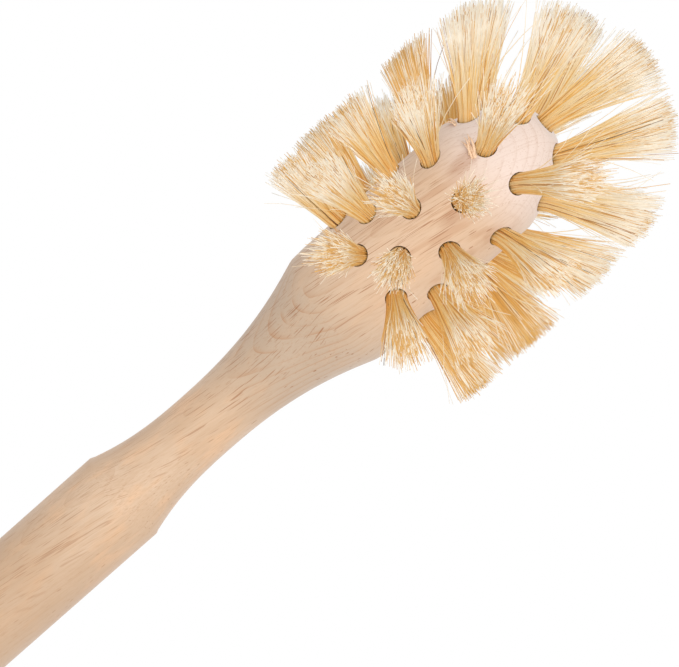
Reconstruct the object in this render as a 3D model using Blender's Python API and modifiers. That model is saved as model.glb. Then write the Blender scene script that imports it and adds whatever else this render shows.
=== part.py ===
"""Bottle brush: a turned beech handle and head, with tufts of plant fibre set in drilled holes.

Metres, +Z up. The brush stands upright on the end of its handle, and the origin is the centre of
the flat on that end. Angles round the head are measured from -Y, towards +X.
"""

import math
from dataclasses import dataclass

import bmesh
import bpy
from mathutils import Euler, Matrix, Vector

# Turned beech body, heights measured up from the top of the grip unless the name says otherwise
GRIP_LENGTH = 0.1250
GRIP_RADIUS = 0.0132
BUTT_ROUNDING = 0.0035
SHOULDER_ROUNDING = 0.0005
NECK_RADIUS = 0.0093
NECK_HEIGHT = 0.0306
HEAD_RADIUS = 0.0173
HEAD_BOTTOM_HEIGHT = 0.0765
HEAD_TOP_HEIGHT = 0.1290
NOSE_LENGTH = 0.0205
NOSE_FLAT_RADIUS = 0.0042
TAPER_POWER = 2.6
FLARE_POWER = 2.25
NOSE_FULLNESS = 1.2
NOSE_ROUNDNESS = 0.6

# Drilled holes and the rings that they stand in
HOLE_RADIUS = 0.00295
HOLE_DEPTH = 0.0065
NOSE_HOLE_DEPTH = 0.0036
HOLE_CUT_CLEARANCE = 0.0040
SEAT_GAP = 0.0003
RING_TUFTS = 7
RINGS_DROP = 0.0357
RING_DROP_SHARES = (1.0, 0.77, 0.48, 0.154)
LAST_RING_NOSE_SHARE = 0.371
RING_LEANS_DEG = (-6.0, 2.0, 8.0, 24.0, 44.0)
RING_TURN_DEG = -22.0
RING_STAGGER_SHARE = 0.5
NOSE_RING_TUFTS = 3
NOSE_RING_NOSE_SHARE = 0.878
NOSE_RING_LEAN_DEG = 63.0
NOSE_RING_TURN_DEG = -43.0
TIP_LEAN_DEG = 90.0

# Tufts: a tight root in the hole, a fold round the anchor wire below it, and a fan of strands
BRUSH_RADIUS = 0.0395
DOME_CENTRE_RISE = 0.0160
ROOT_RISE = 0.0016
ANCHOR_WIDTH = 0.0010
ANCHOR_DROP = 0.0012
STRAND_GAP = 0.0003
STRANDS_PER_TUFT = 12
FAN_SLOPE_SHARES = (0.27, 0.11)

# Fineness of the facets
BODY_STEPS = 56
HOLE_STEPS = 14
BUTT_STEPS = 4
GRIP_STEPS = 5
WAIST_STEPS = 16
HEAD_STEPS = 3
NOSE_STEPS = 9
MERGE_DISTANCE = 0.000001
SMOOTH_ANGLE = math.radians(35.0)


def soft_minimum(first, second, rounding):
    """Return the lesser of two radii, with the corner between them rounded."""
    return (first + second - math.hypot(first - second, rounding)) / 2


def waist_radius(height):
    """Return the radius between the grip and the nose at a height above the grip."""
    if height < NECK_HEIGHT:
        fall = (1 - height / NECK_HEIGHT) ** TAPER_POWER
        taper = NECK_RADIUS + (GRIP_RADIUS - NECK_RADIUS) * fall
        return soft_minimum(GRIP_RADIUS, taper, SHOULDER_ROUNDING)
    rise = ((height - NECK_HEIGHT) / (HEAD_BOTTOM_HEIGHT - NECK_HEIGHT)) ** FLARE_POWER
    flare = NECK_RADIUS + (HEAD_RADIUS - NECK_RADIUS) * rise
    return soft_minimum(HEAD_RADIUS, flare, SHOULDER_ROUNDING)


def nose_radius(height):
    """Return the radius of the rounded nose at a height above the grip."""
    along = (height - HEAD_TOP_HEIGHT) / NOSE_LENGTH
    dome = max(0.0, 1 - along ** NOSE_FULLNESS) ** NOSE_ROUNDNESS
    return NOSE_FLAT_RADIUS + (HEAD_RADIUS - NOSE_FLAT_RADIUS) * dome


def head_radius(height):
    """Return the head's radius at a height above the grip."""
    if height > HEAD_TOP_HEIGHT:
        return nose_radius(height)
    return waist_radius(height)


def body_profile():
    """Return the (radius, z) points of the turned body, from the nose down to the butt."""
    points = [(0.0, GRIP_LENGTH + HEAD_TOP_HEIGHT + NOSE_LENGTH)]
    for step in range(NOSE_STEPS):
        height = HEAD_TOP_HEIGHT + NOSE_LENGTH * math.cos(math.pi / 2 * step / NOSE_STEPS)
        points.append((nose_radius(height), GRIP_LENGTH + height))
    for step in range(HEAD_STEPS):
        height = HEAD_TOP_HEIGHT + (HEAD_BOTTOM_HEIGHT - HEAD_TOP_HEIGHT) * step / HEAD_STEPS
        points.append((waist_radius(height), GRIP_LENGTH + height))
    for step in range(WAIST_STEPS):
        height = HEAD_BOTTOM_HEIGHT * (1 - step / WAIST_STEPS)
        points.append((waist_radius(height), GRIP_LENGTH + height))
    for step in range(GRIP_STEPS):
        z = GRIP_LENGTH + (BUTT_ROUNDING - GRIP_LENGTH) * step / GRIP_STEPS
        points.append((GRIP_RADIUS, z))
    for step in range(BUTT_STEPS + 1):
        angle = math.pi / 2 * step / BUTT_STEPS
        radius = GRIP_RADIUS - BUTT_ROUNDING * (1 - math.cos(angle))
        points.append((radius, BUTT_ROUNDING * (1 - math.sin(angle))))
    points.append((0.0, 0.0))
    return points


def ring_heights():
    """Return the height above the grip of each full ring, from the handle's side up."""
    heights = [HEAD_TOP_HEIGHT - RINGS_DROP * share for share in RING_DROP_SHARES]
    heights.append(HEAD_TOP_HEIGHT + NOSE_LENGTH * LAST_RING_NOSE_SHARE)
    return heights


@dataclass(frozen=True)
class TuftPlace:
    """Where one tuft stands: its hole's mouth, how the hole points and how deep it is."""

    name: str
    height: float
    radius: float
    lean_deg: float
    turn_deg: float
    hole_depth: float

    def matrix(self):
        """Return the placement whose origin is the mouth and whose +Z runs out of the hole."""
        turn = math.radians(self.turn_deg)
        mouth = Vector((
            self.radius * math.sin(turn),
            -self.radius * math.cos(turn),
            GRIP_LENGTH + self.height,
        ))
        tilt = math.pi / 2 - math.radians(self.lean_deg)
        return Matrix.LocRotScale(mouth, Euler((tilt, 0.0, turn)), None)


def ring_of_tufts(prefix, count, height, lean_deg, first_turn_deg, hole_depth):
    """Return the places of one ring's tufts, evenly spaced round the head."""
    places = []
    for index in range(count):
        turn_deg = first_turn_deg + 360.0 * index / count
        name = f"{prefix}_{index + 1}"
        radius = head_radius(height)
        places.append(TuftPlace(name, height, radius, lean_deg, turn_deg, hole_depth))
    return places


def tuft_places():
    """Return every tuft's place: the full rings, the nose ring and the tip."""
    places = []
    for ring, (height, lean_deg) in enumerate(zip(ring_heights(), RING_LEANS_DEG)):
        stagger = RING_STAGGER_SHARE * (ring % 2)
        turn_deg = RING_TURN_DEG + 360.0 * stagger / RING_TUFTS
        prefix = f"tuft_ring{ring + 1}"
        places += ring_of_tufts(prefix, RING_TUFTS, height, lean_deg, turn_deg, HOLE_DEPTH)
    places += ring_of_tufts(
        "tuft_nose",
        NOSE_RING_TUFTS,
        HEAD_TOP_HEIGHT + NOSE_LENGTH * NOSE_RING_NOSE_SHARE,
        NOSE_RING_LEAN_DEG,
        NOSE_RING_TURN_DEG,
        NOSE_HOLE_DEPTH,
    )
    tip_height = HEAD_TOP_HEIGHT + NOSE_LENGTH
    places.append(TuftPlace("tuft_tip", tip_height, 0.0, TIP_LEAN_DEG, 0.0, NOSE_HOLE_DEPTH))
    return places


def distance_to_envelope(point, direction):
    """Return how far a ray runs before it meets the round-ended shape that the tips are cut to.

    The shape is a cylinder with a ball on its end. A ray that leaves the ball above its centre
    ends there, and any other ray ends on the cylinder's wall.
    """
    ball_centre = Vector((0.0, 0.0, GRIP_LENGTH + HEAD_TOP_HEIGHT + DOME_CENTRE_RISE))
    from_centre = point - ball_centre
    half = direction.dot(from_centre)
    under_root = half ** 2 + BRUSH_RADIUS ** 2 - from_centre.dot(from_centre)
    if under_root > 0.0:
        reach = math.sqrt(under_root) - half
        if from_centre.z + direction.z * reach > 0.0:
            return reach
    across = direction.xy
    start = point.xy
    half = across.dot(start)
    under_root = half ** 2 + across.dot(across) * (BRUSH_RADIUS ** 2 - start.dot(start))
    return (math.sqrt(under_root) - half) / across.dot(across)


def make_material(name, colour, roughness):
    """Return a Principled material with one colour and roughness."""
    material = bpy.data.materials.new(name)
    material.use_nodes = True
    shader = material.node_tree.nodes["Principled BSDF"]
    shader.inputs["Base Color"].default_value = colour
    shader.inputs["Roughness"].default_value = roughness
    shader.inputs["Metallic"].default_value = 0.0
    return material


def new_object(name, mesh_data, collection, material=None):
    """Link an object with the given mesh and material to a collection."""
    item = bpy.data.objects.new(name, mesh_data)
    collection.objects.link(item)
    if material is not None:
        mesh_data.materials.append(material)
    return item


def mesh_from_bmesh(name, shape):
    """Turn a bmesh into smooth-shaded mesh data and free it."""
    mesh_data = bpy.data.meshes.new(name)
    shape.to_mesh(mesh_data)
    shape.free()
    mesh_data.shade_smooth()
    mesh_data.set_sharp_from_angle(angle=SMOOTH_ANGLE)
    return mesh_data


def make_hole_cutter(places, collection):
    """Make one cutter that holds a cylinder for every tuft's blind hole."""
    shape = bmesh.new()
    for place in places:
        length = place.hole_depth + HOLE_CUT_CLEARANCE
        middle = Matrix.Translation((0.0, 0.0, (HOLE_CUT_CLEARANCE - place.hole_depth) / 2))
        bmesh.ops.create_cone(
            shape,
            cap_ends=True,
            segments=HOLE_STEPS,
            radius1=HOLE_RADIUS,
            radius2=HOLE_RADIUS,
            depth=length,
            matrix=place.matrix() @ middle,
        )
    cutter = new_object("tuft_hole_cutter", mesh_from_bmesh("tuft_hole_cutter", shape), collection)
    cutter.hide_render = True
    cutter.display_type = "WIRE"
    return cutter


def make_body(cutter, collection, material):
    """Turn the beech body from its profile and drill the blind holes in its head."""
    shape = bmesh.new()
    corners = [shape.verts.new((radius, 0.0, z)) for radius, z in body_profile()]
    for upper, lower in zip(corners, corners[1:]):
        shape.edges.new((upper, lower))
    body = new_object("beech_body", mesh_from_bmesh("beech_body", shape), collection, material)
    screw = body.modifiers.new("Turning", "SCREW")
    screw.axis = "Z"
    screw.angle = 2 * math.pi
    screw.steps = BODY_STEPS
    screw.render_steps = BODY_STEPS
    screw.use_merge_vertices = True
    screw.merge_threshold = MERGE_DISTANCE
    screw.use_smooth_shade = True
    drill = body.modifiers.new("Tuft holes", "BOOLEAN")
    drill.operation = "DIFFERENCE"
    drill.solver = "EXACT"
    drill.object = cutter
    return body


def bottom_faces(shape):
    """Return the faces that lie on the lowest level of a shape."""
    lowest = min(corner.co.z for corner in shape.verts)
    return [face for face in shape.faces if face.calc_center_median().z < lowest + MERGE_DISTANCE]


def add_root(shape, hole_depth):
    """Add the tight root that fills the hole, and the fold of fibre round its anchor wire."""
    radius = HOLE_RADIUS * math.cos(math.pi / HOLE_STEPS) - SEAT_GAP
    root_depth = hole_depth - ANCHOR_DROP - SEAT_GAP
    bmesh.ops.create_cone(
        shape,
        cap_ends=True,
        segments=STRANDS_PER_TUFT,
        radius1=radius,
        radius2=radius,
        depth=root_depth + ROOT_RISE,
        matrix=Matrix.Translation((0.0, 0.0, (ROOT_RISE - root_depth) / 2)),
    )
    for side in (-1, 1):
        bottom = bottom_faces(shape)
        bmesh.ops.bisect_plane(
            shape,
            geom=bottom + list({edge for face in bottom for edge in face.edges}),
            dist=MERGE_DISTANCE,
            plane_co=(0.0, side * ANCHOR_WIDTH / 2, 0.0),
            plane_no=(0.0, side, 0.0),
        )
    strip = min(bottom_faces(shape), key=lambda face: abs(face.calc_center_median().y))
    fold = bmesh.ops.extrude_discrete_faces(shape, faces=[strip])["faces"][0]
    bmesh.ops.translate(shape, verts=fold.verts, vec=(0.0, 0.0, -ANCHOR_DROP))


def add_strands(shape, placement):
    """Grow a three-sided strand from each sector of the root and cut it to the envelope.

    Every strand moves away from the root's axis along the middle of its own sector, so no two
    strands cross, whatever their slopes.
    """
    top = max(shape.faces, key=lambda face: face.calc_center_median().z)
    sectors = bmesh.ops.poke(shape, faces=[top])["faces"]
    bmesh.ops.inset_individual(shape, faces=sectors, thickness=STRAND_GAP / 2, use_even_offset=True)
    tips = bmesh.ops.extrude_discrete_faces(shape, faces=sectors)["faces"]
    tips.sort(key=lambda face: math.atan2(*face.calc_center_median().yx))
    for index, tip in enumerate(tips):
        outward = tip.calc_center_median()
        outward.z = 0.0
        slope = FAN_SLOPE_SHARES[index % len(FAN_SLOPE_SHARES)]
        direction = (outward.normalized() * slope + Vector((0.0, 0.0, 1.0))).normalized()
        world_direction = placement.to_3x3() @ direction
        for corner in tip.verts:
            reach = distance_to_envelope(placement @ corner.co, world_direction)
            corner.co += direction * reach


def make_tuft(place, collection, material):
    """Make one tuft: its root, the fold below it and its fan of strands, as one solid."""
    placement = place.matrix()
    shape = bmesh.new()
    add_root(shape, place.hole_depth)
    add_strands(shape, placement)
    shape.normal_update()
    tuft = new_object(place.name, mesh_from_bmesh(place.name, shape), collection, material)
    tuft.location = placement.to_translation()
    tuft.rotation_euler = placement.to_euler()
    return tuft


def make_collection(name):
    """Add a collection to the scene."""
    collection = bpy.data.collections.new(name)
    bpy.context.scene.collection.children.link(collection)
    return collection


def main():
    """Build the whole brush."""
    for item in list(bpy.data.objects):
        bpy.data.objects.remove(item)
    brush = make_collection("bottle_brush")
    cutters = make_collection("cutters")
    beech = make_material("beech_wood", (0.72, 0.50, 0.33, 1.0), 0.6)
    fibre = make_material("plant_fibre", (0.78, 0.58, 0.33, 1.0), 0.7)
    places = tuft_places()
    cutter = make_hole_cutter(places, cutters)
    make_body(cutter, brush, beech)
    for place in places:
        make_tuft(place, brush, fibre)


main()
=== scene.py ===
"""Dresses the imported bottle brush: a turned beech body and thirty-nine tufts of plant fibre.

Metres, +Z up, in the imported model's own frame. The brush stands on the end of its grip, whose
centre is the origin. Angles round the head are measured from -Y, towards +X.
"""

import logging
import math
import random
from dataclasses import dataclass, field
from enum import Enum
from typing import Any

import bmesh
import bpy
from bmesh.types import BMesh, BMFace, BMLayerItem, BMVert
from bpy.types import Material, Node, NodeSocket, NodeTree, Object
from mathutils import Euler, Matrix, Vector


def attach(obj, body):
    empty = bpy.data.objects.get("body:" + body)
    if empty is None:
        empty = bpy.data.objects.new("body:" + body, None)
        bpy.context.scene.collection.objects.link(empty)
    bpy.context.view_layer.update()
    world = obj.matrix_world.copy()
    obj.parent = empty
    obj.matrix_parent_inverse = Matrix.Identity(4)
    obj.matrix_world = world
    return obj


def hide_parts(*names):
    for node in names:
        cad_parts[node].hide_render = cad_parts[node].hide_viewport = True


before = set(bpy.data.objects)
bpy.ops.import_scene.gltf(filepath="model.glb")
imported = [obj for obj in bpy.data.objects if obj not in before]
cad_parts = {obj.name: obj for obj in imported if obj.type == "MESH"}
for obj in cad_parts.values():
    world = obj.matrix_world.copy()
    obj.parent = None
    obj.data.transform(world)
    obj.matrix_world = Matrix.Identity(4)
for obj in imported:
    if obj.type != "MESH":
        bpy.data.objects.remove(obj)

Span = tuple[float, float]
Triple = tuple[float, float, float]
Colour = Triple
Stops = tuple[tuple[float, Colour], ...]

LOG = logging.getLogger("bottle_brush")
BODY_NAME = "root"
STRAND_MAP = "OFBake"
MERGE_DISTANCE = 0.000001
NOISE_ROUGHNESS = 0.55
WHITE = (1.0, 1.0, 1.0)
GOLDEN_TURN = (3 - math.sqrt(5)) / 2


class Slot(Enum):
    """The record's material slots."""

    BEECH = "beech_wood"
    FIBRE = "plant_fibre"


class RayKind(Enum):
    """The Light Path outputs of the rays that show a surface rather than light it."""

    CAMERA = "Is Camera Ray"
    GLOSSY = "Is Glossy Ray"
    TRANSMISSION = "Is Transmission Ray"


def linear(red: int, green: int, blue: int) -> Colour:
    """Turn a screen's colour, from 0 to 255, into the linear one that a shader takes."""
    shares = [value / 255 for value in (red, green, blue)]
    values = [s / 12.92 if s <= 0.04045 else ((s + 0.055) / 1.055) ** 2.4 for s in shares]
    return values[0], values[1], values[2]


@dataclass(frozen=True)
class Fade:
    """A smooth change from nothing to a strength between two limits, which may run downwards."""

    start: float
    end: float
    strength: float = 1.0


@dataclass(frozen=True)
class Pattern:
    """Soft noise with so many lumps a metre each way, faded between two of its values."""

    lumps: Triple
    detail: float
    fade: Fade


class ShaderGraph:
    """A node tree to which nodes are added by what they work out."""

    def __init__(self, tree: NodeTree, material: Material | None = None) -> None:
        """Take hold of a node tree and, where it has one, its material."""
        self.tree = tree
        self.material = material

    @classmethod
    def of_material(cls, name: str) -> "ShaderGraph":
        """Start a material of the given name and return its graph."""
        material = bpy.data.materials.new(name)
        material.use_nodes = True
        return cls(material.node_tree, material)

    @property
    def shader(self) -> Node:
        """Return the material's main shader."""
        return self.tree.nodes["Principled BSDF"]

    def feed(self, socket: NodeSocket, value: Any) -> None:
        """Give a socket a link or a fixed value.

        Args:
            socket: The input to fill.
            value: An output socket, a number, or a colour of three values.
        """
        if isinstance(value, NodeSocket):
            self.tree.links.new(value, socket)
        elif socket.type == "RGBA" and not isinstance(value, float):
            socket.default_value = (*value, 1.0)
        else:
            socket.default_value = value

    def node(self, kind: str, inputs: dict[Any, Any], **settings: Any) -> Node:
        """Add a node.

        Args:
            kind: The node's type in Blender.
            inputs: A value or an output socket for each named or numbered input.
            **settings: The node's own properties.

        Returns:
            The new node.
        """
        made = self.tree.nodes.new(kind)
        for name, value in settings.items():
            setattr(made, name, value)
        for name, value in inputs.items():
            self.feed(made.inputs[name], value)
        return made

    def finish(self, values: dict[str, Any]) -> Material:
        """Give the main shader a value or a link for each named input; return the material."""
        for name, value in values.items():
            self.feed(self.shader.inputs[name], value)
        return self.material

    def place(self) -> NodeSocket:
        """Return the point's Object coordinates."""
        return self.node("ShaderNodeTexCoord", {}).outputs["Object"]

    def split(self, vector: Any) -> list[NodeSocket]:
        """Return the three parts of a vector."""
        return list(self.node("ShaderNodeSeparateXYZ", {0: vector}).outputs)

    def math(self, operation: str, *values: Any) -> NodeSocket:
        """Work out one step of arithmetic and return its result."""
        made = self.node("ShaderNodeMath", dict(enumerate(values)), operation=operation)
        return made.outputs["Value"]

    def times(self, first: Any, second: Any) -> NodeSocket:
        """Return the product of two values."""
        return self.math("MULTIPLY", first, second)

    def vector_math(self, operation: str, *vectors: Any) -> NodeSocket:
        """Work out one step of vector arithmetic and return the vector, or else the number."""
        made = self.node("ShaderNodeVectorMath", dict(enumerate(vectors)), operation=operation)
        return made.outputs["Value" if operation in ("LENGTH", "DOT_PRODUCT") else "Vector"]

    def stretched(self, vector: Any, scales: Any) -> NodeSocket:
        """Scale each part of a vector by its own number."""
        return self.vector_math("MULTIPLY", vector, scales)

    def noise(self, vector: Any, lumps: Triple, detail: float) -> NodeSocket:
        """Return soft noise, mostly between 0.3 and 0.7, with so many lumps a metre each way."""
        inputs = {"Vector": self.stretched(vector, lumps), "Scale": 1.0, "Detail": detail}
        inputs["Roughness"] = NOISE_ROUGHNESS
        return self.node("ShaderNodeTexNoise", inputs).outputs["Fac"]

    def fade(self, value: Any, fade: Fade) -> NodeSocket:
        """Fade a value and return how far it has come."""
        limits = {"From Min": fade.start, "From Max": fade.end, "To Max": fade.strength}
        kind = "ShaderNodeMapRange"
        made = self.node(kind, {"Value": value, **limits}, interpolation_type="SMOOTHSTEP")
        return made.outputs["Result"]

    def pattern(self, vector: Any, pattern: Pattern) -> NodeSocket:
        """Return how strongly a pattern shows."""
        return self.fade(self.noise(vector, pattern.lumps, pattern.detail), pattern.fade)

    def mix(self, share: Any, first: Any, second: Any, blend: str = "MIX") -> Any:
        """Mix two colours by a share and return the result.

        Args:
            share: How much of the second colour shows, from 0 to 1.
            first: The colour underneath.
            second: The colour on top.
            blend: How the second is laid on the first.

        Returns:
            The mixed colour's socket.
        """
        made = self.node("ShaderNodeMix", {}, data_type="RGBA", blend_type=blend)
        by_name = {socket.identifier: socket for socket in made.inputs}
        self.feed(by_name["Factor_Float"], share)
        self.feed(by_name["A_Color"], first)
        self.feed(by_name["B_Color"], second)
        return next(socket for socket in made.outputs if socket.identifier == "Result_Color")

    def ramp(self, value: Any, stops: Stops) -> NodeSocket:
        """Turn a value into a colour.

        Args:
            value: The value to look up, from 0 to 1.
            stops: Each stop's position and colour, in rising order.

        Returns:
            The colour's socket.
        """
        made = self.node("ShaderNodeValToRGB", {"Fac": value})
        elements = made.color_ramp.elements
        while len(elements) < len(stops):
            elements.new(1.0)
        for element, (position, colour) in zip(elements, stops):
            element.position = position
            element.color = (*colour, 1.0)
        return made.outputs["Color"]


@dataclass(frozen=True)
class WoodPoint:
    """The sockets that say where a point of the wood lies: on the brush, in the trunk, how high."""

    graph: ShaderGraph
    place: Any
    grain: Any
    height: Any


@dataclass(frozen=True)
class BeechFinish:
    """Bare steamed beech: pale, with growth rings, short dark flecks and fine pores.

    The grain leans across the brush, so rings and flecks run a little aslant to its axis. The
    lower grip is darkened with painted shade, the downward-facing flare is greyed with painted
    shade, the head's own tone is darkened with painted shade where the tufts would shade it, and
    the sanded nose shows paler end grain.
    Fades run over heights where their names say so, and otherwise over a pattern's own values.
    """

    pale: Colour = linear(212, 184, 157)
    deep: Colour = linear(196, 163, 132)
    blush: Colour = linear(222, 178, 138)
    # Painted shade: the lower grip is darkened towards the butt.
    lower_grip_shade: Colour = linear(186, 154, 124)
    # Painted shade on the downward-facing flare.
    flare_shade: Colour = linear(172, 152, 132)
    # The head's own tone, darkened with painted shade where the tufts would shade the wood.
    head_tone_with_tuft_shade: Colour = linear(207, 174, 144)
    head_brown: Colour = linear(184, 138, 102)
    end_pale: Colour = linear(222, 201, 188)
    ring_line: Colour = linear(176, 130, 92)
    fleck_line: Colour = linear(150, 94, 48)
    torn_brown: Colour = linear(160, 108, 70)

    pith_turn_deg: float = -30.0
    pith_distance: float = 0.052
    grain_lean: float = 0.158
    upright_height: float = 0.188
    warp: float = 0.0030
    warp_lumps: Triple = (30.0, 30.0, 9.0)

    cloud: Pattern = Pattern((70.0, 70.0, 22.0), 3.0, Fade(0.28, 0.72))
    warmth: Pattern = Pattern((210.0, 210.0, 75.0), 2.0, Fade(0.46, 0.72, 0.55))
    browning: Pattern = Pattern((520.0, 160.0, 42.0), 2.0, Fade(0.50, 0.68, 0.70))
    end_rays: Pattern = Pattern((1500.0, 90.0, 90.0), 1.0, Fade(0.56, 0.70, 0.16))
    pores: Pattern = Pattern((5200.0, 5200.0, 1100.0), 2.0, Fade(0.62, 0.78))
    vessels: Pattern = Pattern((3300.0, 3300.0, 120.0), 1.0, Fade(0.60, 0.74, 0.42))
    dashes: Pattern = Pattern((3900.0, 300.0, 120.0), 0.0, Fade(0.675, 0.755, 0.85))
    streak_lumps: Triple = (2600.0, 2600.0, 130.0)
    streak_detail: float = 3.0
    streak_tone: Fade = Fade(0.40, 0.70, 0.55)
    pore_tone: float = 0.22

    grip_shade_heights: Fade = Fade(0.123, 0.086, 0.55)
    flare_shade_from_height: Fade = Fade(0.158, 0.182, 0.62)
    flare_shade_to_height: Fade = Fade(0.222, 0.192)
    head_shade_heights: Fade = Fade(0.192, 0.240, 0.75)
    nose_heights: Fade = Fade(0.244, 0.264)

    ring_spacing: float = 0.00185
    ring_lumps: Triple = (420.0, 0.0, 0.0)
    ring_detail: float = 2.0
    ring_wander: float = 0.8
    ring_sharpness: float = 8.0
    ring_strength: float = 0.24
    ring_from_height: Fade = Fade(0.160, 0.178, 0.60)
    ring_to_height: Fade = Fade(0.208, 0.196)
    ring_patches: Pattern = Pattern((160.0, 160.0, 60.0), 2.0, Fade(0.32, 0.56))

    fleck_cell: Triple = (0.00040, 0.0030, 0.0200)
    side_fleck_cell: Triple = (0.00045, 0.0010, 0.0150)
    fleck_width: Fade = Fade(0.25, 0.75, 0.22)
    least_fleck_width: float = 0.001
    fleck_edge: Fade = Fade(1.0, 0.70)
    facing: Fade = Fade(0.45, 0.85)
    mark_strength: float = 0.42
    mark_from_height: Fade = Fade(0.135, 0.185, 0.44)
    mark_to_height: Fade = Fade(0.259, 0.243)

    torn_spots: tuple[Triple, ...] = ((-0.0062, -0.0158, 0.2550), (0.0024, -0.0171, 0.2450))
    torn_size: Triple = (0.0030, 0.0060, 0.0075)
    torn_edge: Fade = Fade(1.0, 0.35)
    torn_strength: float = 0.40
    torn_streakiness: float = 1.2

    roughness: float = 0.50
    streak_roughness: float = 0.16
    shine: float = 0.32
    fuzz: float = 0.28
    streak_relief: float = 0.5
    mark_relief: float = -0.8
    pore_relief: float = 0.3
    relief: float = 0.35
    relief_height: float = 0.00008

    def material(self) -> Material:
        """Build the wood's material.

        Returns:
            A material that reads Object coordinates, with the grain near to Z.
        """
        graph = ShaderGraph.of_material("bare_beech")
        place = graph.place()
        at = WoodPoint(graph, place, self.grain_frame(graph, place), graph.split(place)[2])
        streaks = graph.noise(at.grain, self.streak_lumps, self.streak_detail)
        pores = graph.pattern(at.grain, self.pores)
        vessels = graph.pattern(at.grain, self.vessels)
        marks = self.marks(at)
        colour = self.ring_lines(at, self.tone(at, streaks))
        colour = graph.mix(graph.times(pores, self.pore_tone), colour, self.ring_line)
        colour = graph.mix(vessels, colour, self.ring_line)
        colour = graph.mix(marks, colour, self.fleck_line)
        colour = graph.mix(self.torn(at, vessels), colour, self.torn_brown)
        sunk = graph.times(marks, self.mark_relief)
        relief = graph.math("MULTIPLY_ADD", streaks, self.streak_relief, sunk)
        relief = graph.math("SUBTRACT", relief, graph.times(pores, self.pore_relief))
        inputs = {"Height": relief, "Strength": self.relief, "Distance": self.relief_height}
        return graph.finish({
            "Base Color": colour,
            "Roughness": graph.math("MULTIPLY_ADD", streaks, self.streak_roughness, self.roughness),
            "Specular IOR Level": self.shine,
            "Sheen Weight": self.fuzz,
            "Normal": graph.node("ShaderNodeBump", inputs).outputs[0],
        })

    def grain_frame(self, graph: ShaderGraph, place: Any) -> NodeSocket:
        """Work out where a point lies in the trunk that the blank was cut from.

        Args:
            graph: The material's graph.
            place: The point's Object coordinates.

        Returns:
            A vector of the distances round the pith, out from it and along it.
        """
        turn = math.radians(self.pith_turn_deg)
        pith = (self.pith_distance * math.sin(turn), -self.pith_distance * math.cos(turn), 0.0)
        bend_place = graph.stretched(place, self.warp_lumps)
        bend = graph.node("ShaderNodeTexNoise", {"Vector": bend_place, "Scale": 1.0})
        shift = graph.stretched(bend.outputs["Color"], (self.warp, self.warp, 0.0))
        moved = graph.vector_math("ADD", place, shift)
        across, away, along = graph.split(graph.vector_math("SUBTRACT", moved, pith))
        rise = graph.math("SUBTRACT", along, self.upright_height)
        across = graph.math("SUBTRACT", across, graph.times(rise, self.grain_lean))
        squares = graph.math("ADD", graph.times(across, across), graph.times(away, away))
        round_pith = graph.times(graph.math("ARCTAN2", away, across), self.pith_distance)
        parts = {0: round_pith, 1: graph.math("SQRT", squares), 2: along}
        return graph.node("ShaderNodeCombineXYZ", parts).outputs[0]

    def tone(self, at: WoodPoint, streaks: Any) -> NodeSocket:
        """Colour the wood between its lines.

        Args:
            at: The point of the wood.
            streaks: Noise drawn out along the grain.

        Returns:
            The colour's socket.
        """
        graph, height = at.graph, at.height
        colour = graph.mix(graph.pattern(at.place, self.cloud), self.pale, self.deep)
        colour = graph.mix(graph.pattern(at.place, self.warmth), colour, self.blush)
        colour = graph.mix(graph.fade(streaks, self.streak_tone), colour, self.deep)
        # Painted shade: darker towards the butt of the grip.
        colour = graph.mix(graph.fade(height, self.grip_shade_heights), colour, self.lower_grip_shade)
        # Painted shade: the downward-facing flare is greyed.
        flare_shading = graph.fade(height, self.flare_shade_from_height)
        flare_shading = graph.times(flare_shading, graph.fade(height, self.flare_shade_to_height))
        colour = graph.mix(flare_shading, colour, self.flare_shade)
        # The head's own tone, darkened with painted shade that stands in for the tufts' shade.
        fresh = graph.fade(height, self.head_shade_heights)
        colour = graph.mix(fresh, colour, self.head_tone_with_tuft_shade)
        brown = graph.times(graph.pattern(at.grain, self.browning), fresh)
        colour = graph.mix(brown, colour, self.head_brown)
        end_grain = graph.mix(graph.pattern(at.grain, self.end_rays), self.end_pale, self.ring_line)
        return graph.mix(graph.fade(height, self.nose_heights), colour, end_grain)

    def ring_lines(self, at: WoodPoint, colour: Any) -> NodeSocket:
        """Draw the growth rings over a colour, clearest on the flare.

        Args:
            at: The point of the wood.
            colour: The colour underneath.

        Returns:
            The colour with the rings' late wood on it.
        """
        graph = at.graph
        out = graph.split(at.grain)[1]
        line = graph.node("ShaderNodeCombineXYZ", {0: out}).outputs[0]
        years = graph.times(graph.noise(line, self.ring_lumps, self.ring_detail), self.ring_wander)
        phase = graph.math("ADD", graph.math("DIVIDE", out, self.ring_spacing), years)
        late = graph.math("POWER", graph.math("FRACT", phase), self.ring_sharpness)
        clear = graph.fade(at.height, self.ring_from_height)
        clear = graph.times(clear, graph.fade(at.height, self.ring_to_height))
        clear = graph.math("ADD", clear, self.ring_strength)
        clear = graph.times(clear, graph.pattern(at.grain, self.ring_patches))
        return graph.mix(graph.times(late, clear), colour, self.ring_line)

    def torn(self, at: WoodPoint, lines: Any) -> NodeSocket:
        """Find the brown streaks where a drill tore the surface beside its hole.

        Args:
            at: The point of the wood.
            lines: The wood's fine lines, which the streaks follow.

        Returns:
            How much of the brown shows.
        """
        graph = at.graph
        scales = tuple(1.0 / length for length in self.torn_size)
        shown: Any = 0.0
        for spot in self.torn_spots:
            away = graph.stretched(graph.vector_math("SUBTRACT", at.place, spot), scales)
            near = graph.fade(graph.vector_math("LENGTH", away), self.torn_edge)
            shown = graph.math("MAXIMUM", shown, near)
        streaky = graph.math("MULTIPLY_ADD", lines, self.torn_streakiness, self.torn_strength)
        return graph.times(shown, streaky)

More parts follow.
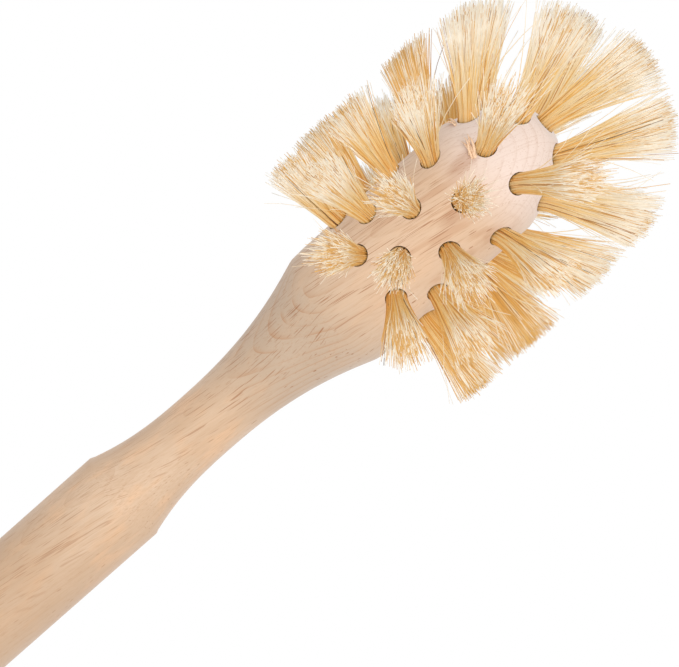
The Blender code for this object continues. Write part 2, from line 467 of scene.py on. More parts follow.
    def marks(self, at: WoodPoint) -> NodeSocket:
        """Draw the dark marks: long where the surface faces the pith, and short between.

        Args:
            at: The point of the wood.

        Returns:
            How dark the marks are.
        """
        graph = at.graph
        turn = math.radians(self.pith_turn_deg)
        out = graph.vector_math("NORMALIZE", graph.stretched(at.place, (1.0, 1.0, 0.0)))
        share = graph.vector_math("DOT_PRODUCT", out, (math.sin(turn), -math.cos(turn), 0.0))
        faced = graph.fade(graph.math("ABSOLUTE", share), self.facing)
        aside = graph.math("SUBTRACT", 1.0, faced)
        marks = graph.times(self.flecks(at, self.fleck_cell), faced)
        short = graph.times(self.flecks(at, self.side_fleck_cell), aside)
        dashes = graph.times(graph.pattern(at.grain, self.dashes), faced)
        for more in (short, dashes):
            marks = graph.math("MAXIMUM", marks, more)
        strength = graph.fade(at.height, self.mark_from_height)
        strength = graph.math("ADD", strength, self.mark_strength)
        strength = graph.times(strength, graph.fade(at.height, self.mark_to_height))
        return graph.times(marks, strength)

    def flecks(self, at: WoodPoint, cell: Triple) -> NodeSocket:
        """Scatter the short dark lines that beech's rays draw on its surface.

        Args:
            at: The point of the wood.
            cell: The room that each fleck has round the pith, out from it and along it.

        Returns:
            1 in a fleck, 0 between them.
        """
        graph = at.graph
        drawn = graph.stretched(at.grain, tuple(1.0 / length for length in cell))
        cells = graph.node("ShaderNodeTexVoronoi", {"Vector": drawn, "Scale": 1.0})
        chance = graph.node("ShaderNodeSeparateColor", {0: cells.outputs["Color"]}).outputs[0]
        wide = graph.math("MAXIMUM", graph.fade(chance, self.fleck_width), self.least_fleck_width)
        return graph.fade(graph.math("DIVIDE", cells.outputs["Distance"], wide), self.fleck_edge)


@dataclass(frozen=True)
class PlainFinish:
    """A matt surface of two tones in a soft pattern."""

    name: str
    colour: Colour
    dark: Colour
    pattern: Pattern
    roughness: float
    shine: float

    def material(self) -> Material:
        """Build the material, which reads Object coordinates."""
        graph = ShaderGraph.of_material(self.name)
        shown = graph.pattern(graph.place(), self.pattern)
        return graph.finish({
            "Base Color": graph.mix(shown, self.colour, self.dark),
            "Roughness": self.roughness,
            "Specular IOR Level": self.shine,
        })


# Painted shade: the holes' walls are drawn dark brown, for the shade deep in the holes.
SHADED_BORE = PlainFinish(
    name="drilled_beech",
    colour=linear(112, 76, 46),
    dark=linear(66, 42, 24),
    pattern=Pattern((1400.0, 1400.0, 1400.0), 2.0, Fade(0.35, 0.65)),
    roughness=0.85,
    shine=0.1,
)
FRESH_SHAVING = PlainFinish(
    name="torn_beech",
    colour=linear(234, 198, 164),
    dark=linear(196, 148, 106),
    pattern=Pattern((5200.0, 5200.0, 900.0), 2.0, Fade(0.50, 0.70)),
    roughness=0.65,
    shine=0.3,
)


@dataclass(frozen=True)
class FibreFinish:
    """Bleached plant fibre: amber toward the roots as painted shade where the strands pack tight,
    cream toward the cut ends as painted light shining through them.

    A strand's own map runs from root to tip along one side. On the other side each strand has one
    of several bands, from the few dark brown ones to the palest.
    """

    # Painted shade at the roots, fading to painted light at the tips.
    along: Stops = (
        (0.17, linear(241, 209, 158)),
        (0.34, linear(241, 214, 166)),
        (0.56, linear(247, 230, 198)),
        (1.00, linear(252, 250, 246)),
    )
    shades: Stops = (
        (0.00, linear(70, 48, 34)),
        (0.035, linear(150, 104, 62)),
        (0.065, linear(192, 134, 66)),
        (0.085, linear(225, 171, 87)),
        (0.30, linear(239, 201, 129)),
        (0.65, linear(243, 219, 176)),
        (1.00, linear(244, 235, 219)),
    )
    # Painted light: the cut ends are drawn paler, as light shining through them.
    painted_tip_light: Colour = linear(245, 233, 213)
    tip_light_along: Fade = Fade(0.60, 1.00, 0.86)
    tip_light_shades: Fade = Fade(0.06, 0.34)
    mottle_tone: Colour = linear(222, 172, 104)
    mottle: Pattern = Pattern((900.0, 900.0, 900.0), 2.0, Fade(0.30, 0.70))
    mottle_share: float = 0.10
    mottle_roughness: float = 0.15
    roughness: float = 0.40
    shine: float = 0.50

    def material(self) -> Material:
        """Build the strands' material.

        Returns:
            A material that reads the strand map, with a little mottling on Object coordinates.
        """
        graph = ShaderGraph.of_material("bleached_fibre")
        drawn = graph.node("ShaderNodeUVMap", {}, uv_map=STRAND_MAP).outputs["UV"]
        along, shade, _ = graph.split(drawn)
        root_shade_tip_light, own = graph.ramp(along, self.along), graph.ramp(shade, self.shades)
        colour = graph.mix(1.0, root_shade_tip_light, own, "MULTIPLY")
        # Painted light on the tips of all but the darkest strands.
        cut = graph.fade(along, self.tip_light_along)
        cut = graph.times(cut, graph.fade(shade, self.tip_light_shades))
        colour = graph.mix(cut, colour, self.painted_tip_light)
        mottle = graph.pattern(graph.place(), self.mottle)
        colour = graph.mix(graph.times(mottle, self.mottle_share), colour, self.mottle_tone)
        return graph.finish({
            "Base Color": colour,
            "Roughness": graph.math("MULTIPLY_ADD", mottle, self.mottle_roughness, self.roughness),
            "Specular IOR Level": self.shine,
        })


def new_piece(name: str, shape: BMesh, material: Material) -> Object:
    """Turn a bmesh into a smooth-shaded piece in the scene and free it.

    Args:
        name: The piece's name.
        shape: Its shape, already in place.
        material: Its material.

    Returns:
        The piece's object, at the origin.
    """
    mesh = bpy.data.meshes.new(name)
    shape.to_mesh(mesh)
    shape.free()
    mesh.shade_smooth()
    mesh.materials.append(material)
    piece = bpy.data.objects.new(name, mesh)
    bpy.context.scene.collection.objects.link(piece)
    return piece


def dress(piece: Object, node: str) -> None:
    """Tell the frame what a piece rides on and stands for.

    Args:
        piece: The piece.
        node: The CAD node that it replaces.
    """
    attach(piece, BODY_NAME)
    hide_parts(node)
    LOG.info("%s: %d faces", piece.name, len(piece.data.polygons))


@dataclass(frozen=True)
class TuftPlace:
    """Where one tuft stands: its hole's mouth, how the hole points and how deep it is."""

    name: str
    z: float
    radius: float
    lean_deg: float
    turn_deg: float
    hole_depth: float

    def matrix(self) -> Matrix:
        """Return the placement whose origin is the mouth and whose +Z runs out of the hole."""
        turn = math.radians(self.turn_deg)
        mouth = Vector((self.radius * math.sin(turn), -self.radius * math.cos(turn), self.z))
        tilt = math.pi / 2 - math.radians(self.lean_deg)
        return Matrix.LocRotScale(mouth, Euler((tilt, 0.0, turn)), None)


@dataclass
class BeechBody:
    """The turned handle and head, with a blind hole for each tuft.

    Heights are measured up from the top of the grip, as in the CAD part.
    """

    grip_length: float = 0.1250
    grip_radius: float = 0.0132
    butt_rounding: float = 0.0035
    shoulder_rounding: float = 0.0005
    neck_radius: float = 0.0093
    neck_height: float = 0.0306
    head_radius: float = 0.0173
    head_bottom_height: float = 0.0765
    head_top_height: float = 0.1290
    nose_length: float = 0.0205
    nose_flat_radius: float = 0.0042
    taper_power: float = 2.6
    flare_power: float = 2.25
    nose_fullness: float = 1.2
    nose_roundness: float = 0.6
    hole_radius: float = 0.00295
    hole_clearance: float = 0.0040
    turning_steps: int = 168
    hole_steps: int = 32
    nose_steps: int = 30
    head_steps: int = 12
    waist_steps: int = 70
    grip_steps: int = 24
    butt_steps: int = 10
    sharp_angle_deg: float = 35.0

    def waist_radius(self, height: float) -> float:
        """Return the radius between the grip and the nose.

        Args:
            height: The height above the grip.

        Returns:
            The radius there.
        """
        if height < self.neck_height:
            fall = (1 - height / self.neck_height) ** self.taper_power
            free = self.neck_radius + (self.grip_radius - self.neck_radius) * fall
            limit = self.grip_radius
        else:
            span = self.head_bottom_height - self.neck_height
            rise = ((height - self.neck_height) / span) ** self.flare_power
            free = self.neck_radius + (self.head_radius - self.neck_radius) * rise
            limit = self.head_radius
        return (limit + free - math.hypot(limit - free, self.shoulder_rounding)) / 2

    def nose_radius(self, height: float) -> float:
        """Return the radius of the rounded nose at a height above the grip."""
        along = (height - self.head_top_height) / self.nose_length
        dome = max(0.0, 1 - along**self.nose_fullness) ** self.nose_roundness
        return self.nose_flat_radius + (self.head_radius - self.nose_flat_radius) * dome

    def surface_radius(self, height: float) -> float:
        """Return the radius of the head's surface at a height above the grip."""
        if height > self.head_top_height:
            return self.nose_radius(height)
        return self.waist_radius(height)

    def profile(self) -> list[tuple[float, float]]:
        """Return the (radius, z) points that are turned, from the nose down to the butt."""
        base, top, bottom = self.grip_length, self.head_top_height, self.head_bottom_height
        nose, head, waist = self.nose_steps, self.head_steps, self.waist_steps
        quarter = math.pi / 2
        heights = [top + self.nose_length * math.cos(quarter * i / nose) for i in range(nose)]
        heights += [top + (bottom - top) * i / head for i in range(head)]
        heights += [bottom * (1 - i / waist) for i in range(waist)]
        points = [(0.0, base + top + self.nose_length)]
        points += [(self.surface_radius(height), base + height) for height in heights]
        for step in range(self.grip_steps):
            z = base + (self.butt_rounding - base) * step / self.grip_steps
            points.append((self.grip_radius, z))
        for step in range(self.butt_steps + 1):
            angle = quarter * step / self.butt_steps
            radius = self.grip_radius - self.butt_rounding * (1 - math.cos(angle))
            points.append((radius, self.butt_rounding * (1 - math.sin(angle))))
        points.append((0.0, 0.0))
        return points

    def turned(self) -> BMesh:
        """Turn the profile round the axis.

        Returns:
            The body's bmesh before it is drilled.
        """
        shape = bmesh.new()
        corners = [shape.verts.new((radius, 0.0, z)) for radius, z in self.profile()]
        edges = [shape.edges.new(pair) for pair in zip(corners, corners[1:])]
        bmesh.ops.spin(
            shape,
            geom=[*corners, *edges],
            cent=(0.0, 0.0, 0.0),
            axis=(0.0, 0.0, 1.0),
            angle=2 * math.pi,
            steps=self.turning_steps,
            use_merge=True,
        )
        bmesh.ops.remove_doubles(shape, verts=shape.verts[:], dist=MERGE_DISTANCE)
        bmesh.ops.recalc_face_normals(shape, faces=shape.faces[:])
        return shape

    def drills(self, places: list[TuftPlace]) -> BMesh:
        """Stand a round cutter in every tuft's place.

        Args:
            places: The tufts' places.

        Returns:
            One bmesh with all the cutters.
        """
        shape = bmesh.new()
        for place in places:
            middle = (self.hole_clearance - place.hole_depth) / 2
            bmesh.ops.create_cone(
                shape,
                cap_ends=True,
                segments=self.hole_steps,
                radius1=self.hole_radius,
                radius2=self.hole_radius,
                depth=place.hole_depth + self.hole_clearance,
                matrix=place.matrix() @ Matrix.Translation((0.0, 0.0, middle)),
            )
        return shape

    def build(self, places: list[TuftPlace], wood: Material, bore: Material) -> Object:
        """Turn and drill the body.

        Args:
            places: The tufts' places.
            wood: The material of the turned surface.
            bore: The material of the holes' walls, drawn dark as painted shade.

        Returns:
            The finished piece.
        """
        body = new_piece("turned_beech", self.turned(), wood)
        drills = new_piece("tuft_drills", self.drills(places), bore)
        cut = body.modifiers.new("Tuft holes", "BOOLEAN")
        cut.operation = "DIFFERENCE"
        cut.solver = "EXACT"
        cut.material_mode = "TRANSFER"
        cut.object = drills
        cut_body = body.evaluated_get(bpy.context.evaluated_depsgraph_get())
        mesh = bpy.data.meshes.new_from_object(cut_body)
        body.modifiers.clear()
        body.data = mesh
        bpy.data.objects.remove(drills)
        mesh.shade_smooth()
        mesh.set_sharp_from_angle(angle=math.radians(self.sharp_angle_deg))
        return body


@dataclass
class TuftLayout:
    """The rings of holes round the head, as the CAD part spaces them."""

    body: BeechBody
    ring_tufts: int = 7
    rings_drop: float = 0.0357
    ring_drop_shares: tuple[float, ...] = (1.0, 0.77, 0.48, 0.154)
    last_ring_share: float = 0.371
    ring_leans_deg: tuple[float, ...] = (-6.0, 2.0, 8.0, 24.0, 44.0)
    ring_turn_deg: float = -22.0
    hole_depth: float = 0.0065
    nose_tufts: int = 3
    nose_share: float = 0.878
    nose_lean_deg: float = 63.0
    nose_turn_deg: float = -43.0
    nose_hole_depth: float = 0.0036

    def ring(
        self, name: str, count: int, height: float, lean: float, turn: float, depth: float
    ) -> list[TuftPlace]:
        """Space one ring of tufts round the head.

        Args:
            name: What the ring's tufts are called.
            count: How many tufts it has.
            height: The ring's height above the grip.
            lean: How far the holes lean towards the nose, in degrees.
            turn: The first tuft's turn, in degrees.
            depth: The holes' depth.

        Returns:
            The ring's places, in order.
        """
        z, radius = self.body.grip_length + height, self.body.surface_radius(height)
        return [
            TuftPlace(f"{name}_{i + 1}", z, radius, lean, turn + 360 * i / count, depth)
            for i in range(count)
        ]

    def places(self) -> list[TuftPlace]:
        """Return every tuft's place: the full rings, the nose ring and the tip."""
        top, nose = self.body.head_top_height, self.body.nose_length
        heights = [top - self.rings_drop * share for share in self.ring_drop_shares]
        heights.append(top + nose * self.last_ring_share)
        found: list[TuftPlace] = []
        for index, (height, lean) in enumerate(zip(heights, self.ring_leans_deg)):
            turn = self.ring_turn_deg + 180.0 / self.ring_tufts * (index % 2)
            name = f"tuft_ring{index + 1}"
            found += self.ring(name, self.ring_tufts, height, lean, turn, self.hole_depth)
        found += self.ring(
            "tuft_nose",
            self.nose_tufts,
            top + nose * self.nose_share,
            self.nose_lean_deg,
            self.nose_turn_deg,
            self.nose_hole_depth,
        )
        tip = self.body.grip_length + (top + nose)
        found.append(TuftPlace("tuft_tip", tip, 0.0, 90.0, 0.0, self.nose_hole_depth))
        return found


@dataclass(frozen=True)
class Splinter:
    """A sliver of wood that a drill tore up beside a hole.

    Its two ends are given in the mouth's plane, to the right of the hole's middle and up from it.
    """

    start: Span
    end: Span
    width: float = 0.00060
    thickness: float = 0.00022
    lift: float = 0.0010


@dataclass
class TornRim:
    """The slivers that stand up beside one hole, still fast to the wood at one end."""

    body: BeechBody
    place: TuftPlace
    splinters: tuple[Splinter, ...]
    sunk: float = 0.00008
    joints: int = 6
    taper: float = 0.85
    taper_power: float = 1.6
    bow: float = 2.2
    rounds: int = 8

    def sliver(self, shape: BMesh, splinter: Splinter) -> None:
        """Add one sliver: a bar drawn out to a point, bowed clear of the wood.

        Args:
            shape: The bmesh to add to, in the mouth's frame.
            splinter: The sliver's size and place.
        """
        kept_corners, kept_edges = len(shape.verts), len(shape.edges)
        bmesh.ops.create_cube(shape, size=1.0)
        shape.edges.ensure_lookup_table()
        fresh = shape.edges[kept_edges:]
        rails = [edge for edge in fresh if abs(edge.verts[0].co.x - edge.verts[1].co.x) > 0.5]
        bmesh.ops.subdivide_edges(shape, edges=rails, cuts=self.joints - 1)
        shape.verts.ensure_lookup_table()
        start, end = Vector((*splinter.start, 0.0)), Vector((*splinter.end, 0.0))
        across = Vector((0.0, 0.0, 1.0)).cross(end - start).normalized()
        for corner in shape.verts[kept_corners:]:
            along = corner.co.x + 0.5
            narrow = 1.0 - self.taper * along**self.taper_power
            spot = start.lerp(end, along)
            rise = splinter.lift * math.sin(along * self.bow) + self.bed(spot)
            rise += corner.co.z * splinter.thickness * narrow
            spread = across * corner.co.y * splinter.width * narrow
            corner.co = spot + spread + Vector((0.0, 0.0, rise))

    def bed(self, spot: Vector) -> float:
        """Work out how far the head's surface lies from the mouth's plane.

        Args:
            spot: A point in the mouth's plane.

        Returns:
            The surface's distance from it along the hole, less what the sliver sinks in.
        """
        placement = self.place.matrix()
        distance = 0.0
        for _ in range(self.rounds):
            point = placement @ Vector((spot.x, spot.y, distance))
            radius = self.body.surface_radius(point.z - self.body.grip_length)
            distance -= math.hypot(point.x, point.y) - radius
        return distance - self.sunk

    def build(self, shaving: Material) -> Object:
        """Make the slivers.

        Args:
            shaving: The torn wood's material.

        Returns:
            The finished piece.
        """
        shape = bmesh.new()
        for splinter in self.splinters:
            self.sliver(shape, splinter)
        bmesh.ops.recalc_face_normals(shape, faces=shape.faces[:])
        bmesh.ops.transform(shape, matrix=self.place.matrix(), verts=shape.verts[:])
        return new_piece(f"{self.place.name}_splinters", shape, shaving)


@dataclass(frozen=True)
class TrimShape:
    """The round-ended shape that the tufts are trimmed to: a cylinder with a ball on its end."""

    radius: float = 0.0395
    ball_z: float = 0.2682
    fuller_side: float = 0.0016
    fuller_fade: float = 0.015

    def room(self, point: Vector) -> float:
        """Return how far a point lies inside the trimmed shape.

        Args:
            point: The point in the part's frame.

        Returns:
            The distance to the shape, negative outside it.
        """
        out = point.xy.length
        if point.z > self.ball_z:
            out = math.hypot(out, point.z - self.ball_z)
        fuller = self.fuller_side * max(0.0, point.x / self.radius)
        fuller *= max(0.0, min(1.0, (self.ball_z - point.z) / self.fuller_fade))
        return self.radius + fuller - out


TORN_RIMS: dict[str, tuple[Splinter, ...]] = {
    "tuft_ring5_1": (
        Splinter((0.0011, -0.0035), (-0.0040, -0.0031), 0.00125, lift=0.0009),
        Splinter((0.0008, -0.0042), (-0.0047, -0.0041), 0.00095, lift=0.0014),
        Splinter((0.0002, -0.0032), (-0.0046, -0.0022), 0.00085, lift=0.0018),
        Splinter((-0.0004, -0.0044), (-0.0052, -0.0033), 0.00065, lift=0.0022),
        Splinter((-0.0018, -0.0036), (-0.0056, -0.0020), 0.00055, lift=0.0019),
    ),
    "tuft_ring5_7": (
        Splinter((0.0016, -0.0031), (-0.0006, -0.0060), 0.00110, lift=0.0009),
        Splinter((0.0007, -0.0034), (-0.0022, -0.0054), 0.00090, lift=0.0014),
        Splinter((0.0023, -0.0033), (0.0008, -0.0062), 0.00075, lift=0.0017),
    ),
}


@dataclass(frozen=True)
class Habit:
    """How one tuft grew: which way it leans, how wide it fans, and its paleness, partly its own
    bleach and partly painted light on lit tufts and painted shade on tufts in shade.
    """

    right: float = 0.0
    forward: float = 0.0
    spread: float = 1.1
    tone_and_painted_light: float = 0.02


@dataclass
class Tuft:
    """One tuft of strands, packed tight in its hole and fanned out to the trimmed shape.

    Bleached fibre lets light through, which opaque strands would swallow. To stand in for that,
    shadow rays and diffuse rays don't see the strands, so they darken neither each other nor the
    wood.
    """

    place: TuftPlace
    trim: TrimShape
    seed: int
    habit: Habit

    strands: int = 450
    sides: int = 3
    joints: int = 6
    levels: tuple[float, ...] = (0.05, 0.18, 0.36, 0.58, 0.79, 1.0)
    root_radius: float = 0.00266
    root_turn: float = 0.25
    seat_clearance: float = 0.0015
    strand_radius: float = 0.000136
    thickness_range: Span = (0.75, 1.40)
    tip_share: float = 0.52

    fan_slope: float = 0.22
    fan_power: float = 1.1
    slope_range: Span = (0.8, 1.2)
    knee: float = 0.0035
    locks: int = 18
    lock_pull: float = 0.42
    pull_range: Span = (0.4, 1.0)
    scatter: float = 0.028
    curl: float = 0.0010
    curl_height: float = 0.025

    first_height: float = 0.018
    rounds: int = 5
    trim_mean: float = -0.0009
    trim_spread: float = 0.0006
    short_share: float = 0.09
    short_range: Span = (0.72, 0.97)
    stray_share: float = 0.050
    stray_scatter: float = 3.2
    stray_curl: float = 4.0
    stray_trim: Span = (-0.004, 0.0002)
    stray_paleness: Span = (0.60, 0.95)

    bands: int = 40
    band_margin: float = 0.08
    cap_step: float = 0.03
    dark_bands: tuple[int, ...] = (0, 1)
    dark_share: float = 0.006
    # Tan strands: partly the fibre's own tone and partly painted shade for the gaps between
    # strands.
    tan_band: int = 2
    tan_share: float = 0.035
    core_share: float = 0.6
    # Painted shade in the tuft's core and painted light on its rim.
    core_painted_shade: float = -0.27
    rim_painted_light: float = 0.72
    shade_spread: float = 0.42
    patches: int = 9
    patch_contrast: float = 0.20
    tone_seed: int = 1000

    rng: random.Random = field(init=False)
    patch_tones: list[float] = field(init=False)

    def __post_init__(self) -> None:
        """Seed the tuft's own random numbers, tone its patches and widen or narrow its fan."""
        tones = random.Random(self.seed + self.tone_seed)
        self.patch_tones = [tones.gauss(0.0, self.patch_contrast) for _ in range(2 * self.patches)]
        self.rng = random.Random(self.seed)
        self.fan_slope *= self.habit.spread

    def prototype(self) -> BMesh:
        """Make one straight strand, cut into joints.

        Returns:
            A bmesh one unit long, with an empty strand map.
        """
        shape = bmesh.new()
        bmesh.ops.create_cone(
            shape, cap_ends=True, segments=self.sides, radius1=1.0, radius2=1.0, depth=1.0
        )
        rails = [edge for edge in shape.edges if abs(edge.verts[0].co.z - edge.verts[1].co.z) > 0.5]
        bmesh.ops.subdivide_edges(shape, edges=rails, cuts=self.joints - 1)
        shape.loops.layers.uv.new(STRAND_MAP)
        return shape

    def sheaf(self) -> BMesh:
        """Copy the one strand until there are enough, each in the place of the first.

        Returns:
            A bmesh whose elements stand in the order of the strands.
        """
        shape = self.prototype()
        sizes = len(shape.verts), len(shape.edges), len(shape.faces)
        count = 1
        while count < self.strands:
            more = min(count, self.strands - count)
            parts = (shape.verts, shape.edges, shape.faces)
            geometry = [item for part, size in zip(parts, sizes) for item in part[: size * more]]
            bmesh.ops.duplicate(shape, geom=geometry)
            count += more
        shape.verts.ensure_lookup_table()
        shape.faces.ensure_lookup_table()
        return shape

    def share_out(self, index: int) -> float:
        """Return how far out a strand stands, from 0 in the tuft's middle to 1 at its rim."""
        return math.sqrt((index + 0.5) / self.strands)

    def foot(self, index: int) -> Vector:
        """Return where a strand leaves the hole, in the mouth's plane."""
        angle = index * 2 * math.pi * GOLDEN_TURN
        angle += self.rng.uniform(-self.root_turn, self.root_turn)
        out = Vector((math.cos(angle), math.sin(angle)))
        return out * self.root_radius * self.share_out(index)

    def centre_line(self, index: int, lock_slopes: list[Vector], stray: bool) -> list[Vector]:
        """Lay out one strand from its seat in the hole to its cut end.

        Args:
            index: The strand's number.
            lock_slopes: The slope that each lock of strands gathers to.
            stray: Whether the strand springs away from the rest.

        Returns:
            The points along the strand, in the mouth's frame.
        """
        rng = self.rng
        foot = self.foot(index)
        share = foot.length / self.root_radius
        slope = foot / self.root_radius * self.fan_slope * share**self.fan_power
        slope = slope * rng.uniform(*self.slope_range)
        lock = min(lock_slopes, key=lambda other: (other - slope).length_squared)
        slope = slope.lerp(lock, self.lock_pull * rng.uniform(*self.pull_range))
        scatter = self.scatter * (self.stray_scatter if stray else 1.0)
        slope += Vector((rng.gauss(0.0, scatter), rng.gauss(0.0, scatter)))
        slope += Vector((self.habit.right, self.habit.forward))
        bend = self.curl * (self.stray_curl if stray else 1.0)
        curl = Vector((rng.gauss(0.0, bend), rng.gauss(0.0, bend)))
        placement = self.place.matrix()

        def point(height: float) -> Vector:
            side = foot + slope * height * height / (height + self.knee)
            side = side + curl * (height / self.curl_height) ** 2
            return Vector((side.x, side.y, height))

        height = self.first_height
        for _ in range(self.rounds):
            height += self.trim.room(placement @ point(height))
        if rng.random() < self.short_share:
            height *= rng.uniform(*self.short_range)
        elif stray:
            height += rng.uniform(*self.stray_trim)
        else:
            height += rng.gauss(self.trim_mean, self.trim_spread)
        root = Vector((foot.x, foot.y, self.seat_clearance - self.place.hole_depth))
        return [root, *(point(height * level) for level in self.levels)]

    def band(self, index: int, stray: bool) -> int:
        """Choose a strand's shade.

        Strands that stand together in a patch share its tone. The outer ones are paler as painted
        light and the inner ones darker as painted shade, strays are pale, and the few dark and tan
        ones have the lowest bands; the tan ones are partly the fibre's own tone and partly painted
        shade for the gaps between strands.

        Args:
            index: The strand's number.
            stray: Whether it springs away from the rest.

        Returns:
            The number of its band on the strand map.
        """
        chance = self.rng.random()
        if chance < self.dark_share:
            return self.rng.choice(self.dark_bands)
        if chance < self.dark_share + self.tan_share:
            return self.tan_band
        share = self.share_out(index)
        turns = index * GOLDEN_TURN % 1.0
        patch = int(turns * self.patches) + self.patches * (share < self.core_share)
        # Painted shade and light: darker core, paler rim, and the tuft's own paleness from its
        # habit.
        pale = self.habit.tone_and_painted_light + self.core_painted_shade + self.rim_painted_light * share
        pale += self.patch_tones[patch]
        pale += self.rng.gauss(0.0, self.shade_spread)
        if stray:
            pale = self.rng.uniform(*self.stray_paleness)
        first = self.tan_band + 1
        return first + int(max(0.0, min(0.999, pale)) * (self.bands - first))

    def set_strand(
        self, corners: list[BMVert], spots: list[tuple[int, int]], line: list[Vector]
    ) -> None:
        """Move one strand's corners onto its line.

        Args:
            corners: The strand's corners.
            spots: Each corner's joint and side.
            line: The points along the strand.
        """
        rng = self.rng
        thick = self.strand_radius * rng.uniform(*self.thickness_range)
        turn = rng.uniform(0.0, 2 * math.pi)
        side = Vector((math.cos(turn), math.sin(turn), 0.0))
        frames = []
        for joint, point in enumerate(line):
            before, after = line[max(joint - 1, 0)], line[min(joint + 1, len(line) - 1)]
            ahead = (after - before).normalized()
            across = (side - ahead * side.dot(ahead)).normalized()
            radius = thick * (1 + (self.tip_share - 1) * joint / (len(line) - 1))
            frames.append((point, across * radius, ahead.cross(across) * radius))
        for corner, (joint, turned) in zip(corners, spots):
            point, across, beside = frames[joint]
            angle = 2 * math.pi * turned / self.sides
            corner.co = point + across * math.cos(angle) + beside * math.sin(angle)

    def build(self, fibre: Material) -> Object:
        """Make the tuft.

        Args:
            fibre: The strands' material.

        Returns:
            The finished piece.
        """
        rng = self.rng
        shape = self.sheaf()
        per_strand = len(shape.verts) // self.strands
        faces_each = len(shape.faces) // self.strands
        spots = []
        for corner in shape.verts[:per_strand]:
            turns = math.atan2(corner.co.y, corner.co.x) / (2 * math.pi)
            joint = round((corner.co.z + 0.5) * self.joints)
            spots.append((joint, round(turns * self.sides) % self.sides))
        locks = []
        for _ in range(self.locks):
            angle, share = rng.uniform(0.0, 2 * math.pi), math.sqrt(rng.random())
            locks.append(Vector((math.cos(angle), math.sin(angle))) * share * self.fan_slope)
        strays = [rng.random() < self.stray_share for _ in range(self.strands)]
        bands = [self.band(index, stray) for index, stray in enumerate(strays)]
        spot_of = {corner.index: spots[corner.index % per_strand] for corner in shape.verts}
        layer = shape.loops.layers.uv[STRAND_MAP]
        for number, face in enumerate(shape.faces):
            self.map_face(face, layer, bands[number // faces_each], spot_of)
        for index, stray in enumerate(strays):
            corners = shape.verts[index * per_strand : (index + 1) * per_strand]
            self.set_strand(corners, spots, self.centre_line(index, locks, stray))
        bmesh.ops.transform(shape, matrix=self.place.matrix(), verts=shape.verts[:])
        piece = new_piece(f"{self.place.name}_strands", shape, fibre)
        piece.visible_shadow = False
        piece.visible_diffuse = False
        return piece

    def map_face(
        self, face: BMFace, layer: BMLayerItem, band: int, spot_of: dict[int, tuple[int, int]]
    ) -> None:
        """Lay one face of a strand on the strand map.

        Args:
            face: The face.
            layer: The map.
            band: The strand's band.
            spot_of: Each corner's joint and side.
        """
        spots = [spot_of[loop.vert.index] for loop in face.loops]
        sides = {side for _, side in spots}
        wraps = sides == {0, self.sides - 1}
        cap = len({joint for joint, _ in spots}) == 1
        for loop, (joint, side) in zip(face.loops, spots):
            turned = self.sides if wraps and side == 0 else side
            along = joint / self.joints
            if cap:
                along = abs(along - self.cap_step * (side == 1))
            across = self.band_margin + (1 - 2 * self.band_margin) * turned / self.sides
            loop[layer].uv = (along, (band + across) / self.bands)


@dataclass(frozen=True)
class Softbox:
    """A square soft light: where it hangs, the length of its side and its power in watts."""

    name: str
    place: Triple
    size: float
    power: float


